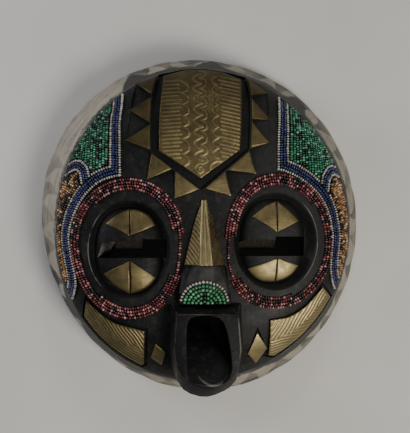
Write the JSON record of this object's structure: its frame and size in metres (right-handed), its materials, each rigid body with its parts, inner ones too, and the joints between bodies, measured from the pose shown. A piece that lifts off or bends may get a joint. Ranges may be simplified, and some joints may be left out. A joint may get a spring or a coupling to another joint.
{
  "type": "carved face mask",
  "caption": "Round domed wooden face mask, hollow at the back, with slit eyes in sunken sockets, a wedge nose, a box-shaped open mouth, embossed brass plates and glass bead panels.",
  "frame": {"origin": "middle of the mask's plan, on the plane of the back rim", "axes": "+Z out of the face, +Y towards the forehead, +X to the right as the face is looked at"},
  "size_m": [0.2996, 0.3132, 0.112],
  "materials": {
    "stained_wood": "black stained, satin, worn",
    "brass_sheet": "thin embossed sheet, tarnished",
    "red_glass_beads": "opaque glossy seed beads, dull red mixed with black",
    "blue_glass_beads": "opaque glossy seed beads, dark blue edged with white",
    "green_glass_beads": "opaque glossy seed beads, green with dark specks",
    "amber_glass_beads": "opaque glossy seed beads, amber mixed with dark red and black"
  },
  "bodies": {
    "root": {"mask_body": "stained_wood", "forehead_plate": "brass_sheet", "forehead_triangle_left_1": "brass_sheet", "forehead_triangle_left_2": "brass_sheet", "forehead_triangle_left_3": "brass_sheet", "forehead_triangle_left_4": "brass_sheet", "forehead_triangle_left_5": "brass_sheet", "forehead_triangle_right_1": "brass_sheet", "forehead_triangle_right_2": "brass_sheet", "forehead_triangle_right_3": "brass_sheet", "forehead_triangle_right_4": "brass_sheet", "forehead_triangle_right_5": "brass_sheet", "nose_plate": "brass_sheet", "eye_plate_left_upper_outer": "brass_sheet", "eye_plate_left_upper_inner": "brass_sheet", "eye_plate_left_lower_outer": "brass_sheet", "eye_plate_left_lower_inner": "brass_sheet", "cheek_plate_left": "brass_sheet", "cheek_diamond_left": "brass_sheet", "eye_ring_left": "red_glass_beads", "band_left": "blue_glass_beads", "green_field_left": "green_glass_beads", "amber_field_left": "amber_glass_beads", "eye_plate_right_upper_outer": "brass_sheet", "eye_plate_right_upper_inner": "brass_sheet", "eye_plate_right_lower_outer": "brass_sheet", "eye_plate_right_lower_inner": "brass_sheet", "cheek_plate_right": "brass_sheet", "cheek_diamond_right": "brass_sheet", "eye_ring_right": "red_glass_beads", "band_right": "blue_glass_beads", "green_field_right": "green_glass_beads", "amber_field_right": "amber_glass_beads", "nose_beads": "green_glass_beads"}
  },
  "joints": []
}
